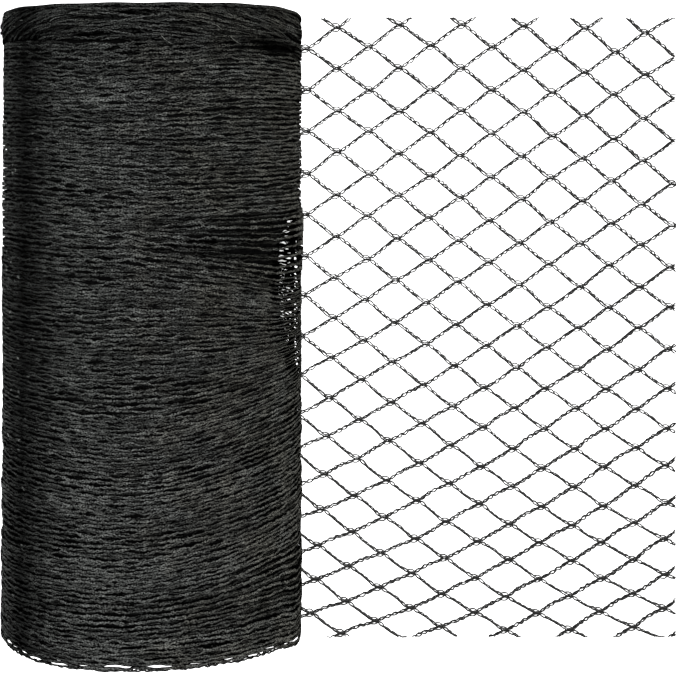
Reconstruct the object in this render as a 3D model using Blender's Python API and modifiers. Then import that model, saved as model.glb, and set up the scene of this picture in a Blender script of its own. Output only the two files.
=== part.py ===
"""A roll of dark diamond-mesh bird netting, lying on its side with its loose end laid out flat.

Units are metres, +Z is up and the floor is z = 0. The roll's axis runs along Y, and its flat
underside is centred on the origin. The loose end of the net lies on the floor towards +X.
"""
import math

import bmesh
import bpy

# Wound roll
ROLL_RADIUS = 0.0649  # mean radius of the wound form
ROLL_TAPER = 0.042  # share of the radius lost from the -Y end to the +Y end
ROLL_LEAN = 0.0033  # sideways drift of the axis over the roll's length
ROLL_LENGTH = 0.256
FLAT_SINK = 0.0015  # how deep the round underside is pressed flat
TOP_END = {"base": 0.129, "left_flare": 0.0026, "right_flare": 0.0034}  # see end_reach
BOTTOM_END = {"base": 0.127, "left_flare": 0.0026, "right_flare": 0.0085}
RIM_ROUND = 0.0030  # rounding where the barrel turns into an end
END_DISH = 0.0040  # how far an end sinks towards its middle
WINDS_SHOWN = 4  # turns of the spiral that the wound layers leave on each end
WIND_RELIEF = 0.0014  # height of that spiral
RINGS_PER_WIND = 3

# Main twists of the roll: strand bundles wound side by side, which meet and part
BUNDLES = 22
BUNDLE_RELIEF = 0.0012  # a bundle stands this far above the mean surface
VALLEY_DEPTH = 0.0021  # depth of the valley between two bundles a full pitch apart
PARTING = 0.22  # sideways wander of a bundle, as a share of the bundle pitch
EDGE_PARTING = 0.08  # the same for the first and last bundles
BUNDLE_TURN = 0.35  # each bundle's partings lie this far round from the last one's, in radians
SLOW_WANDER = {"share": 0.5, "round": 2.0, "turn": 0.9}  # a slower wander on top
RELIEF_ENDS = (-0.95, -0.55)  # cosines round the underside between which the relief fades in
PARTINGS_ROUND = 9  # how many times a bundle meets its neighbour in one turn
LIP_WIDTH = 0.0085  # folded lip at the +Y end, at the sides of the roll
LIP_WIDER_ON_TOP = 0.0045
LIP_GROOVE = 0.0026  # depth of the groove beside the lip
LIP_FOLDS = ((0.32, 0.0013), (0.68, 0.0011), (1.0, -LIP_GROOVE))  # (share of the width, height)
GROOVE_HOLLOW = {"angle": 0.95, "deeper": 0.9, "narrow": 9.0}  # the groove is deepest here
SLIP_START = 0.0515  # y below which the bundles on the right have slipped towards the -Y end
SLIP_ANGLES = (0.03, 1.0, 1.7, 2.8)  # angles round the roll: start, full, fading, end
SLIP = {"drop": 0.0125, "near": 0.0075, "far": 0.021}  # see slipped
SEGMENTS = 80  # points round the roll

# Loose net
BAR_WIDTH = 0.0020
NET_THICKNESS = 0.0014
HALF_MESH = 0.01587  # half the width of one diamond
NET_MIDDLE = (0.1576, -0.0337)  # the lattice knot at column 0, row 0
ROW_HALF = 0.01069  # half the height of a diamond in the middle of the net
ROWS_EACH_WAY = 16.0  # rows from the middle of the net to its far edges
COLUMNS_EACH_WAY = 6.0
NET_DRIFT = 0.0050  # the +Y edge of the net lies this far over to +X
NET_SPREAD = -0.0044  # the -Y edge is drawn out wider than the +Y edge
NET_BELLY = -0.0022  # the columns bow sideways between the edges
NET_BELLY_SIDE = -1.5  # the bow grows by this share towards +X
ROW_SLOPE = -0.0034  # rows fall towards +X
ROW_CLOSING = 0.0088  # the diamonds close up towards the -Y edge
ROW_PULL = -0.0050
NET_RIGHT_TOP = (0.2531, 0.1453)  # corners of the cut piece
NET_RIGHT_BOTTOM = (0.2599, -0.1779)
GRID_CELLS = 44  # cells each way of the uncut lattice
MERGE = 1e-5  # points closer than this are one point
TOUCH_GAP = 0.0004  # the net stops this far short of the roll's underside


def make_material(name, colour, roughness):
    material = bpy.data.materials.new(name)
    material.use_nodes = True
    shader = material.node_tree.nodes["Principled BSDF"]
    shader.inputs["Base Color"].default_value = (*colour, 1.0)
    shader.inputs["Roughness"].default_value = roughness
    shader.inputs["Metallic"].default_value = 0.0
    return material


def add_object(name, bm, collection, material):
    mesh = bpy.data.meshes.new(name)
    bm.to_mesh(mesh)
    bm.free()
    mesh.materials.append(material)
    obj = bpy.data.objects.new(name, mesh)
    collection.objects.link(obj)
    return obj


def roll_radius(y):
    return ROLL_RADIUS * (1.0 - ROLL_TAPER * y / ROLL_LENGTH)


def axis_x(y):
    return ROLL_LEAN * y / ROLL_LENGTH


def end_reach(end, theta):
    """Distance of an end from the middle of the roll: the base length, more at the sides,
    where the outer turns have slid out."""
    flare = end["right_flare"] if math.sin(theta) > 0.0 else end["left_flare"]
    return end["base"] + flare * math.sin(theta) ** 2


def lip_width(theta):
    return LIP_WIDTH + LIP_WIDER_ON_TOP * math.cos(theta)


def relief_fade(theta):
    """1 round the roll, falling to 0 on the underside, which lies pressed flat."""
    flat, full = RELIEF_ENDS
    return min(1.0, max(0.0, (math.cos(theta) - flat) / (full - flat)))


def bundle_wander(bundle, theta):
    """Sideways place of a bundle, in pitches: odd and even bundles swing opposite ways."""
    side = 1.0 if bundle % 2 else -1.0
    swing = math.sin(PARTINGS_ROUND * theta + BUNDLE_TURN * bundle)
    slow_angle = SLOW_WANDER["round"] * theta + SLOW_WANDER["turn"] * bundle
    slow = SLOW_WANDER["share"] * math.sin(slow_angle)
    at_edge = bundle in (0, BUNDLES - 1)
    return (EDGE_PARTING if at_edge else PARTING) * (side * swing + slow)


def smooth_step(value, low, high):
    t = min(1.0, max(0.0, (value - low) / (high - low)))
    return t * t * (3.0 - 2.0 * t)


def slipped(y, theta):
    """Place of a bundle after the slip: at distance q below the start it has moved on by
    drop * (1 - exp(-q / near)) * exp(-q / far), so a gap opens at the start and the bundles
    below crowd together."""
    start, full, fading, end = SLIP_ANGLES
    growth = smooth_step(theta, start, full) * (1.0 - smooth_step(theta, fading, end))
    q = max(0.0, SLIP_START - y)
    return y - SLIP["drop"] * growth * (1.0 - math.exp(-q / SLIP["near"])) * math.exp(-q / SLIP["far"])


def groove_depth(theta):
    near_hollow = max(0.0, math.cos(theta - GROOVE_HOLLOW["angle"])) ** GROOVE_HOLLOW["narrow"]
    return 1.0 + GROOVE_HOLLOW["deeper"] * near_hollow


def barrel_stations(theta):
    """(y, height) along the barrel from the +Y rim to the -Y rim: the lip, its groove, then
    a crest for each bundle with a valley between it and the next one."""
    top = end_reach(TOP_END, theta) - RIM_ROUND
    groove = top - lip_width(theta)
    bottom = -end_reach(BOTTOM_END, theta) + RIM_ROUND
    pitch = (groove - bottom) / BUNDLES
    fade = relief_fade(theta)
    stations = [(top, 0.0)]
    for share, height in LIP_FOLDS:
        depth = groove_depth(theta) if height < 0.0 else 1.0
        stations.append((top + (groove - top) * share, height * depth * fade))
    for bundle in range(BUNDLES):
        here = slipped(groove - (bundle + 0.5 + bundle_wander(bundle, theta)) * pitch, theta)
        after = slipped(groove - (bundle + 1.5 + bundle_wander(bundle + 1, theta)) * pitch, theta)
        stations.append((here, BUNDLE_RELIEF * fade))
        if bundle < BUNDLES - 1:
            valley = (BUNDLE_RELIEF - VALLEY_DEPTH * (here - after) / pitch) * fade
            stations.append(((here + after) / 2, valley))
    stations.append((bottom, 0.0))
    return stations


def end_stations(end, side, theta):
    """(y, radius share) from the middle of an end out to its rim: dished, with the spiral of
    the wound layers standing up from it, and rounded at the rim."""
    reach = end_reach(end, theta)
    middle = end["base"] - END_DISH
    rings = WINDS_SHOWN * RINGS_PER_WIND
    flat_share = 1.0 - RIM_ROUND / ROLL_RADIUS
    stations = [(side * middle, 0.0)]
    for ring in range(1, rings):
        share = ring / rings
        wind = math.cos(2.0 * math.pi * WINDS_SHOWN * share - theta)
        height = WIND_RELIEF * wind * min(1.0, 4.0 * share * (1.0 - share))
        stations.append((side * (middle + (reach - middle) * share**2 + height), share * flat_share))
    stations.append((side * reach, flat_share))
    return stations


def roll_column(theta):
    """Every point of one lengthwise line of the roll, from the +Y pole to the -Y pole."""
    column = [(y, share * roll_radius(y)) for y, share in end_stations(TOP_END, 1.0, theta)]
    column += [(y, roll_radius(y) + height) for y, height in barrel_stations(theta)]
    tail = [(y, share * roll_radius(y)) for y, share in end_stations(BOTTOM_END, -1.0, theta)]
    column += reversed(tail)
    points = []
    for y, radius in column:
        lift = roll_radius(y) - FLAT_SINK
        z = max(0.0, lift + radius * math.cos(theta))
        points.append((axis_x(y) + radius * math.sin(theta), y, z))
    return points


def make_wound_roll(collection):
    """A closed sphere cage whose rings are carried to the stations along the roll."""
    columns = [roll_column(2.0 * math.pi * k / SEGMENTS) for k in range(SEGMENTS)]
    rings = len(columns[0]) - 1
    bm = bmesh.new()
    bmesh.ops.create_uvsphere(bm, u_segments=SEGMENTS, v_segments=rings, radius=1.0)
    for vert in bm.verts:
        ring = round(math.acos(max(-1.0, min(1.0, vert.co.z))) / math.pi * rings)
        column = round(math.atan2(vert.co.x, vert.co.y) / (2.0 * math.pi) * SEGMENTS) % SEGMENTS
        vert.co = columns[column][ring]
    bmesh.ops.recalc_face_normals(bm, faces=bm.faces)
    material = make_material("wound_netting", (0.022, 0.023, 0.022), 0.62)
    roll = add_object("wound_roll", bm, collection, material)
    roll.data.shade_smooth()
    return roll


def lattice_point(column, row):
    """Place of a knot of the loose net, from the middle of the net; rows count towards +Y."""
    u = column / COLUMNS_EACH_WAY
    v = row / ROWS_EACH_WAY
    x = NET_MIDDLE[0] + HALF_MESH * column + NET_DRIFT * v + NET_SPREAD * u * v
    x += NET_BELLY * v * v * (1.0 + NET_BELLY_SIDE * u)
    y = NET_MIDDLE[1] + ROW_HALF * row + ROW_SLOPE * u
    y += ROW_CLOSING * v * v + ROW_PULL * v**3
    return x, y, 0.0


def roll_edge_point(y):
    """Where the net, at its full thickness, just clears the rising underside of the roll."""
    radius = roll_radius(y)
    drop = radius - FLAT_SINK - NET_THICKNESS - TOUCH_GAP
    return axis_x(y) + math.sqrt(radius**2 - drop**2), y


def cut_along(bm, start, end):
    """Cuts the flat net along a straight line and drops what lies on the line's left."""
    direction = (end[0] - start[0], end[1] - start[1])
    geometry = list(bm.verts) + list(bm.edges) + list(bm.faces)
    bmesh.ops.bisect_plane(
        bm,
        geom=geometry,
        dist=MERGE,
        plane_co=(start[0], start[1], 0.0),
        plane_no=(-direction[1], direction[0], 0.0),
        clear_outer=True,
    )


def keep_largest_island(bm):
    """Drops the short ends of bars that the straight cuts left loose."""
    islands = []
    waiting = set(bm.faces)
    while waiting:
        island = []
        edge_of_search = [waiting.pop()]
        while edge_of_search:
            face = edge_of_search.pop()
            island.append(face)
            for edge in face.edges:
                for other in edge.link_faces:
                    if other in waiting:
                        waiting.remove(other)
                        edge_of_search.append(other)
        islands.append(island)
    islands.sort(key=len)
    for island in islands[:-1]:
        bmesh.ops.delete(bm, geom=island, context="FACES")


def make_loose_net(collection):
    """A slanted lattice of bars, cut to its outline and given its thickness."""
    bm = bmesh.new()
    bmesh.ops.create_grid(bm, x_segments=GRID_CELLS, y_segments=GRID_CELLS, size=GRID_CELLS / 2.0)
    for vert in bm.verts:
        column = round(vert.co.x + vert.co.y)
        row = round(vert.co.y - vert.co.x) + 1
        vert.co = lattice_point(column, row)
    corners = [
        NET_RIGHT_TOP,
        NET_RIGHT_BOTTOM,
        roll_edge_point(NET_RIGHT_BOTTOM[1]),
        roll_edge_point(NET_RIGHT_TOP[1]),
    ]
    margin = 3.0 * HALF_MESH
    outside = [
        face
        for face in bm.faces
        if not (corners[3][0] - margin < face.calc_center_median().x < corners[1][0] + margin)
        or not (corners[1][1] - margin < face.calc_center_median().y < corners[0][1] + margin)
    ]
    bmesh.ops.delete(bm, geom=outside, context="FACES")
    gaps = list(bm.faces)
    bmesh.ops.inset_individual(bm, faces=gaps, thickness=BAR_WIDTH / 2.0, use_even_offset=True)
    bmesh.ops.delete(bm, geom=gaps, context="FACES")
    for start, end in zip(corners, corners[1:] + corners[:1]):
        cut_along(bm, start, end)
    keep_largest_island(bm)
    bmesh.ops.remove_doubles(bm, verts=bm.verts, dist=MERGE)
    bmesh.ops.recalc_face_normals(bm, faces=bm.faces)
    if sum(face.normal.z for face in bm.faces) < 0.0:
        bmesh.ops.reverse_faces(bm, faces=bm.faces)
    material = make_material("loose_netting", (0.014, 0.014, 0.013), 0.55)
    net = add_object("loose_net", bm, collection, material)
    solidify = net.modifiers.new("thickness", "SOLIDIFY")
    solidify.thickness = NET_THICKNESS
    solidify.offset = 1.0
    return net


def main():
    for obj in list(bpy.data.objects):
        bpy.data.objects.remove(obj, do_unlink=True)
    collection = bpy.data.collections.new("bird_netting_roll")
    bpy.context.scene.collection.children.link(collection)
    make_wound_roll(collection)
    make_loose_net(collection)


main()
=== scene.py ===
"""Looks of a roll of knitted bird netting whose loose end lies flat beside it.

Laid out as a Blender add-on and run as a script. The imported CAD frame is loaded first; each
operator then makes a piece or a group of pieces from surfaces worked out with numpy, and the
last one makes the stage. Units are metres, +Z is up, the roll's axis runs along Y and the loose
net lies on the floor towards +X.
"""

import math
from collections import namedtuple
from functools import partial

import bpy
import numpy as np
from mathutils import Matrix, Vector


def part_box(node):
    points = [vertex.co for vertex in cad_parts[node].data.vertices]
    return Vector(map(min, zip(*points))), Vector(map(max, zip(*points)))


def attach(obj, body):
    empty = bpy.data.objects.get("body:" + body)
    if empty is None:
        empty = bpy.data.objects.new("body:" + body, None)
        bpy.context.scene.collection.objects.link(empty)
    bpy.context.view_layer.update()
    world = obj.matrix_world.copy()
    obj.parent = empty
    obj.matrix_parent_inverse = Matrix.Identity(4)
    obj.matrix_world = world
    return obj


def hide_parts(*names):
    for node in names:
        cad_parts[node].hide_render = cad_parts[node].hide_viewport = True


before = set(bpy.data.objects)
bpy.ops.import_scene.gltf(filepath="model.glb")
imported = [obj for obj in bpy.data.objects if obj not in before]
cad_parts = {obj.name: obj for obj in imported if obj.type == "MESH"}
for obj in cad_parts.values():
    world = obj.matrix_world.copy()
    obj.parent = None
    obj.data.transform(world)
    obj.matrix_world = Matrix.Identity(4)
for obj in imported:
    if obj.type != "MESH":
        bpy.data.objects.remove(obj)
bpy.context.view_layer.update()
NET_LOW, NET_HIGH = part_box("loose_net")

bl_info = {
    "name": "Bird Netting Roll",
    "version": (1, 0, 0),
    "blender": (4, 5, 0),
    "location": "View3D > Sidebar > Netting",
    "description": "Builds a wound roll of knitted bird netting and its loose end",
    "category": "Add Mesh",
}

BODY = "root"
TURN = 2.0 * math.pi

# Form of the wound roll, as in its solid
ROLL_LENGTH = 0.256
END_BASES = (0.1294, -0.1270)  # y of the +Y end and of the -Y end, on the crown of the roll
END_FLARES = ((0.0036, 0.0056), (0.0054, 0.0100))  # more at the left and right sides
EDGE_RUNS_OUT = (84.0, 17.0, 0.0070)  # where the last turn leaves the -Y end: angle, half angle, reach
LEFT_SWELL = 0.0007  # the turns lie looser on the left side, in the +Y half
CLOSER_AT_LIP = 1.06  # power by which the strands stand closer together towards the lip
LONGER_ON_RIGHT = 6.0  # meetings spread out on the right side and crowd on the left
FINE_SIDE = 115.0  # rings stand close together up to this many degrees from the crown
RELIEF_ENDS = (-0.95, -0.55)  # cosines round the underside between which relief fades in
LIP_WIDTH = 0.0130  # folded lip at the +Y end, at the sides of the roll
LIP_WIDER_ON_TOP = 0.0012

FAN_START = 0.0505  # y from which a few turns slip away from their neighbours
# Angles where the slip starts, is full, begins to fade and ends
FAN_ANGLES = (math.radians(2.0), math.radians(60.0), math.radians(128.0), math.radians(176.0))
FAN_DROP = 0.0125  # how far the slipped turns have moved at the most
FAN_NEAR = 0.0165  # distances from the line where they have moved most and no more
FAN_FAR = 0.0600
FAN_MIDDLE = 0.0435  # y about which the slipped turns fan out, and over what half length
FAN_HALF = 0.0120
SLANT = 0.0115  # the turns of the -Y half climb this much from the crown to the right side
SLANT_RISES = (math.radians(-5.0), math.radians(85.0))  # angles between which they climb
SLANT_FADES = (2.2, 3.1)
SLANT_BEGINS = (-0.004, 0.040)  # distances from the middle towards -Y
SLANT_ENDS = (0.098, 0.130)
# Patches where the outer turns stand off the body: angle, y, half angle, half length, depth
SLACK_PATCHES = (
    (92.0, 0.0118, 38.0, 0.0437, 0.0098),
    (-84.0, 0.0760, 16.0, 0.005, 0.0035),
    (-86.0, 0.0470, 18.0, 0.009, 0.0035),
    (-84.0, -0.0560, 18.0, 0.006, 0.0035),
)
SLACK_FULL = 0.62  # share of a patch's half sizes within which its depth is full
LOOSE_FROM = 0.0035  # depth at which the strands over it hang wholly loose
# Places where neighbouring turns have parted, or closed up where the opening is negative:
# angle, y, half angle, half opening, reach
PARTINGS = (
    (57.0, 0.1166, 11.0, 0.0014, 0.0040),
    (-9.0, 0.1262, 6.0, 0.0008, 0.0020),
    (-35.0, 0.1190, 5.0, 0.0009, 0.0020),
    (24.0, 0.1195, 7.0, 0.0008, 0.0020),
    (-13.0, 0.1190, 8.0, -0.0011, 0.0022),
    (95.0, 0.0379, 14.0, -0.0011, 0.0030),
)
PARTING_EDGE = 0.0008
# Places where the strands lie deep, with painted shade on them: angle, y, half angle, half length
HOLLOWS = ((58.0, 0.1167, 10.0, 0.0029), (72.0, 0.1182, 8.0, 0.0023))
HOLLOW_CORE = 1.3  # over 1, so that a hollow is even in its middle
# Pulled threads: angle and y of both ends, bow
STRAY_THREADS = (
    (11.5, 0.1178, 16.5, 0.1138, -0.0008),
    (35.5, 0.1188, 40.5, 0.1158, -0.0006),
    (-28.0, 0.1228, -22.0, 0.1246, 0.0005),
    (29.0, 0.1225, 33.0, 0.1205, 0.0004),
    (-55.0, 0.1288, -54.2, 0.1284, 0.0),
    (-43.0, 0.1254, -42.0, 0.1252, 0.0),
    (-48.0, 0.1237, -47.3, 0.1234, 0.0),
    (-49.0, 0.1202, -48.4, 0.1199, 0.0),
)
# Painted light and shade by angle from the crown: how light the strands are drawn
PAINTED_LIGHT_AND_SHADE = ((-180.0, 0.80), (-100.0, 1.10), (-75.0, 1.40), (-64.0, 1.45), (-54.0, 0.78), (-43.0, 0.22),
        (-33.0, 0.52), (-24.0, 0.88), (-12.0, 0.97), (4.0, 0.91), (19.0, 0.87), (37.0, 0.86),
        (53.0, 0.87), (64.0, 1.08), (75.0, 1.15), (110.0, 0.90), (180.0, 0.80))
# The threads inside a strand, seen from its crown: place across, swing, waves a loop, phase, width
SUB_THREADS = (
    (-0.30, 0.28, 1.0, 0.00, 0.42),
    (0.30, 0.32, 1.4, 0.35, 0.42),
    (0.00, 0.85, 0.8, 0.60, 0.30),
)
RIGHT_EDGE = 94.0  # angle of the roll's right edge, seen by the camera
LOOPS_PER_METRE = 270.0  # knitted loops along a wound strand, on the ends and in the loose net
END_LOOPS_PER_METRE = 310.0
NET_LOOPS_PER_METRE = 600.0
# Layers of wound strands: seed, strands fewer than in the outermost, rings above and below,
# height, half width, swing, light (painted shade: the layers below are drawn darker), share of
# a slack patch's depth that it sinks by, sides of a strand, pieces, and how far short of the
# -Y end it stops
Layer = namedtuple("Layer", "name seed fewer rings height thickness swing light sinks sides pieces short")
LAYERS = (
    Layer("inner_strands", 3, 20, (70, 26), -0.0016, 0.00060, 0.30, 0.15, 0.90, 3, 1, 0.0036),
    Layer("middle_strands", 4, 8, (112, 30), -0.0009, 0.00064, 0.35, 0.50, 0.25, 4, 1, 0.0014),
    Layer("outer_strands", 5, 0, (190, 40), -0.0001, 0.00066, 0.40, 1.00, 0.00, 4, 2, 0.0),
)
# Unevenness of a strand along its turn: height, stride from strand to strand, sines, most turns
STRAND_WIGGLES = ((0.00022, 0.45, 6, 16), (0.00020, 0.37, 7, 44), (0.00014, 0.53, 8, 90))
# Layers of the folded lip, from below: strands, rings, depth, light (painted shade: the layers below are
# drawn darker), half width, swing
LIP_LAYERS = (
    (12, 200, 0.0012, 0.14, 0.00075, 0.05),
    (9, 300, 0.0006, 0.38, 0.00050, 0.16),
    (12, 340, 0.0, 0.68, 0.00047, 0.11),
)
SEEDS = {"packed_turns": 11, "folded_lip": 23, "lip_hem": 29, "end_winding": 31, "rim_cord": 37}

# Loose net lattice, as in its solid
NET_MIDDLE = (0.1576, -0.0337)
COLUMNS_EACH_WAY = 6.0
ROWS_EACH_WAY = 16.0
NET_DRIFT = 0.0050
NET_SPREAD = -0.0044
NET_BELLY = -0.0022
NET_BELLY_SIDE = -1.5
NET_CURL = -0.0007
ROW_SLOPE = -0.0034
ROW_TURN = 0.0015
ROW_BOW = 0.0024
ROW_BOW_BELOW = -0.0055
ROW_CLOSING = 0.0088
ROW_PULL = -0.0050
TIGHT_BELOW = (0.0, 0.08)  # y under which the bars begin to be pulled tight, and are
TIGHTER = 0.38  # share of the width lost there by the bars that run down towards +X
ROPE = 0.35  # mm by which the inlay winds to and fro in the other bars there
BAR_BOW = 0.00055  # bars bulge a little, each its own way
LOOPS_A_STEP = 5.0  # four along a bar and one in the joint that it leads to
JOINT_LEFT = 0.0024  # the joint starts this far before its knot and ends this far after it
JOINT_RIGHT = 0.0019
JOINT_OPEN = 0.00125  # half the distance between two strands where the joint starts and ends
JOINT_CLOSED = 0.0005
# Sideways place of each thread in mm, by the number of loops passed since the last joint
INLAY_PATH = (
    (0.0, 0.0), (0.2, -0.50), (0.5, -0.62), (0.8, -0.45), (1.05, -0.34), (1.3, -0.40),
    (1.6, -0.48), (1.9, -0.36), (2.2, -0.34), (2.55, -0.48), (2.9, -0.36), (3.2, -0.36),
    (3.5, -0.48), (3.8, -0.52), (4.0, -0.42), (4.2, -0.68), (4.4, -1.05), (4.6, -1.15),
    (4.8, -0.80), (5.0, 0.0),
)
OPEN_LOOP_PATH = (
    (0.0, 0.0), (0.2, 0.58), (0.5, 0.78), (0.8, 0.56), (1.0, 0.22), (1.2, 0.66), (1.5, 0.98),
    (1.8, 0.74), (2.0, 0.22), (2.2, 0.66), (2.5, 0.94), (2.8, 0.68), (3.0, 0.26), (3.25, 0.70),
    (3.55, 0.86), (3.85, 0.58), (4.0, 0.48), (4.3, 0.86), (4.55, 1.02), (4.8, 0.74), (5.0, 0.0),
)
CLOSE_LOOP_PATH = (
    (0.0, 0.0), (0.25, 0.45), (0.55, 0.60), (0.85, 0.30), (1.0, -0.10), (1.3, -0.45),
    (1.6, -0.05), (1.85, 0.25), (2.1, -0.10), (2.4, -0.42), (2.7, 0.05), (2.95, 0.22),
    (3.15, -0.10), (3.4, 0.25), (3.7, 0.50), (4.0, 0.30), (4.2, -0.10), (4.5, -0.35),
    (4.75, 0.10), (5.0, -0.10),
)
NET_RIGHT_TOP = (0.2531, 0.1453)
NET_RIGHT_BOTTOM = (0.2599, -0.1779)
WALES_EACH_WAY = 17
FIRST_COLUMN = -9
NET_COLUMNS = 17
SHORTEST_RUN = 4  # points of a cut thread under which it is left out
THREAD_HEIGHT = 0.00038
# Threads of the net: path, seed, rise, points a step, sides, tone
NetThread = namedtuple("NetThread", "path seed rise per_step sides tone")
INLAY = NetThread(INLAY_PATH, 47, 0.00009, 22, 4, 0.5)
OPEN_LOOPS = NetThread(OPEN_LOOP_PATH, 48, 0.00003, 34, 3, 1.9)
CLOSE_LOOPS = NetThread(CLOSE_LOOP_PATH, 49, 0.0, 29, 3, 1.6)
WRAP_SEED = 53

# Stage
FLOOR_RADIUS = 1.2
KEY_LIGHT = {"place": (0.55, 0.1, 2.95), "target": (0.08, 0.0, 0.03), "size": 1.1, "power": 270.0}
BACKDROP = 0.12  # how much of the white backdrop's light falls on the object
CAMERA_PLACE = (0.0822, 0.0626, 0.4843)
CAMERA_PITCH = -math.radians(3.4)
CAMERA_LENS = 50.0
CAMERA_SHIFT = -0.15


# ------------------------ settings


class NettingRollSizes(bpy.types.PropertyGroup):
    """Sizes of the wound roll."""

    radius: bpy.props.FloatProperty(
        name="Radius", description="Mean radius of the roll",
        default=0.0649, unit="LENGTH", subtype="DISTANCE")
    taper: bpy.props.FloatProperty(
        name="Taper", description="Share of the radius lost towards the +Y end",
        default=0.042, subtype="FACTOR")
    lean: bpy.props.FloatProperty(
        name="Lean", description="Sideways drift of the axis over the roll's length",
        default=0.0033, unit="LENGTH", subtype="DISTANCE")
    flat_sink: bpy.props.FloatProperty(
        name="Flat sink", description="How deep the underside is pressed flat",
        default=0.0015, unit="LENGTH", subtype="DISTANCE")
    strands: bpy.props.IntProperty(
        name="Strands", description="Knitted strands side by side in one layer",
        default=146, min=10)
    meetings: bpy.props.IntProperty(
        name="Meetings", description="Times that a strand meets its neighbour in one turn",
        default=22, min=3)


class NettingNetSizes(bpy.types.PropertyGroup):
    """Sizes of the loose net's meshes and threads."""

    half_mesh: bpy.props.FloatProperty(
        name="Half mesh", description="Half the width of one diamond",
        default=0.01587, unit="LENGTH", subtype="DISTANCE")
    half_row: bpy.props.FloatProperty(
        name="Half row", description="Half the height of one diamond in the middle of the net",
        default=0.01069, unit="LENGTH", subtype="DISTANCE")
    inlay_thread: bpy.props.FloatProperty(
        name="Inlay thread", description="Diameter of the thread laid through the loops",
        default=0.00070, unit="LENGTH", subtype="DISTANCE")
    loop_thread: bpy.props.FloatProperty(
        name="Loop thread", description="Diameter of the threads that make the loops",
        default=0.00050, unit="LENGTH", subtype="DISTANCE")


class NettingColours(bpy.types.PropertyGroup):
    """Colours of the netting and of the stage."""

    strand: bpy.props.FloatVectorProperty(
        name="Strand", description="Colour of the wound strands",
        default=(0.0588, 0.0617, 0.0588), size=3, subtype="COLOR", min=0.0, max=1.0)
    strand_warm: bpy.props.FloatVectorProperty(
        name="Warm strand", description="Colour of the wound strands on the right side",
        default=(0.0610, 0.0608, 0.0535), size=3, subtype="COLOR", min=0.0, max=1.0)
    # Painted shade: the packed turns are the same netting as the strands, drawn almost black as the shade
    # between them
    hollow: bpy.props.FloatVectorProperty(
        name="Hollow", description="Colour of the packed turns seen between the strands",
        default=(0.0012, 0.0012, 0.0012), size=3, subtype="COLOR", min=0.0, max=1.0)
    net: bpy.props.FloatVectorProperty(
        name="Net", description="Colour of the loose net's threads",
        default=(0.0145, 0.0145, 0.0142), size=3, subtype="COLOR", min=0.0, max=1.0)
    floor: bpy.props.FloatVectorProperty(
        name="Floor", description="Colour of the floor",
        default=(0.80, 0.80, 0.80), size=3, subtype="COLOR", min=0.0, max=1.0)


def sizes():
    return bpy.context.scene.netting_roll


def net_sizes():
    return bpy.context.scene.netting_net


def colours():
    return bpy.context.scene.netting_colours


# ------------------------ waves and steps


def step(value, low, high):
    """Smooth step: 0 below low, 1 above high, 3t^2 - 2t^3 between them."""
    t = np.clip((value - low) / (high - low), 0.0, 1.0)
    return t * t * (3.0 - 2.0 * t)


def triangle(angle):
    """Triangle wave of height 1 with the period and the signs of a sine, its tips rounded."""
    return 2.0 / math.pi * np.arcsin(np.sin(angle) * 0.995)


def at_least(low, share):
    """low where the share is 0, rising straight to 1 where it is 1."""
    return low + (1.0 - low) * share


def gauss(away, half):
    """Gauss curve: e^(-(away / half)^2)."""
    return np.exp(-((away / half) ** 2))


def waves(rng, theta, y, count, turns, per_metre=1.0):
    """Sum of sines over angle and length that closes on itself round the roll. Each has a
    whole number of turns up to the given one, a random phase, and all sum to about 1."""
    total = np.zeros(np.broadcast(theta, y).shape)
    for _ in range(count):
        around = rng.integers(1, turns + 1)
        along = rng.uniform(-per_metre, per_metre)
        total += np.sin(around * theta + TURN * along * y + rng.uniform(0.0, TURN))
    return total / math.sqrt(count)


# ------------------------ form of the roll


def roll_radius(y):
    return sizes().radius * (1.0 - sizes().taper * y / ROLL_LENGTH)


def end_y(end, theta):
    """y of end 0 (+Y) or 1 (-Y): its base, moved out by the flare times sin^2 of the angle,
    and further where the last turn leaves the -Y end."""
    left, right = END_FLARES[end]
    sine = np.sin(theta)
    out = np.where(sine > 0.0, right, left) * sine**2
    return END_BASES[end] + (1 - 2 * end) * out - end * run_out(theta)


def run_out(theta):
    """How far the last turn runs out over the -Y end: reach times a Gauss curve."""
    degrees, half, reach = EDGE_RUNS_OUT
    return reach * near(theta, degrees, half)


def lip_y(theta):
    """y of the groove beside the folded lip, nearer the end on the underside."""
    return end_y(0, theta) - (LIP_WIDTH + LIP_WIDER_ON_TOP * np.cos(theta))


def turned(theta, degrees):
    """Angle from a place given in degrees, between -pi and pi."""
    return np.angle(np.exp(1j * (theta - math.radians(degrees))))


def near(theta, degrees, half):
    """Gauss curve of the angle from a place, both in degrees."""
    return gauss(turned(theta, degrees), math.radians(half))


def from_crown(theta):
    """Angle from the crown of rings that run from pi to 3 pi, above 0 towards +X."""
    return theta - TURN


def right_side(theta):
    """0 on the crown and to the left of it, 1 on the right side."""
    return step(from_crown(theta), 0.35, 1.0)


def slack_depth(theta, y):
    """How far the body lies under the outer turns: full in the middle of each patch, fading
    to nothing at its edge."""
    depth = 0.0
    for degrees, middle, half_angle, half_length, deep in SLACK_PATCHES:
        away = np.hypot(turned(theta, degrees) / math.radians(half_angle), (y - middle) / half_length)
        depth = depth + deep * (1.0 - step(away, SLACK_FULL, 1.0))
    return depth


def looseness(theta, y):
    """0 where the turns lie on the body, 1 where they hang wholly loose."""
    return np.minimum(slack_depth(theta, y) / LOOSE_FROM, 1.0)


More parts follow.
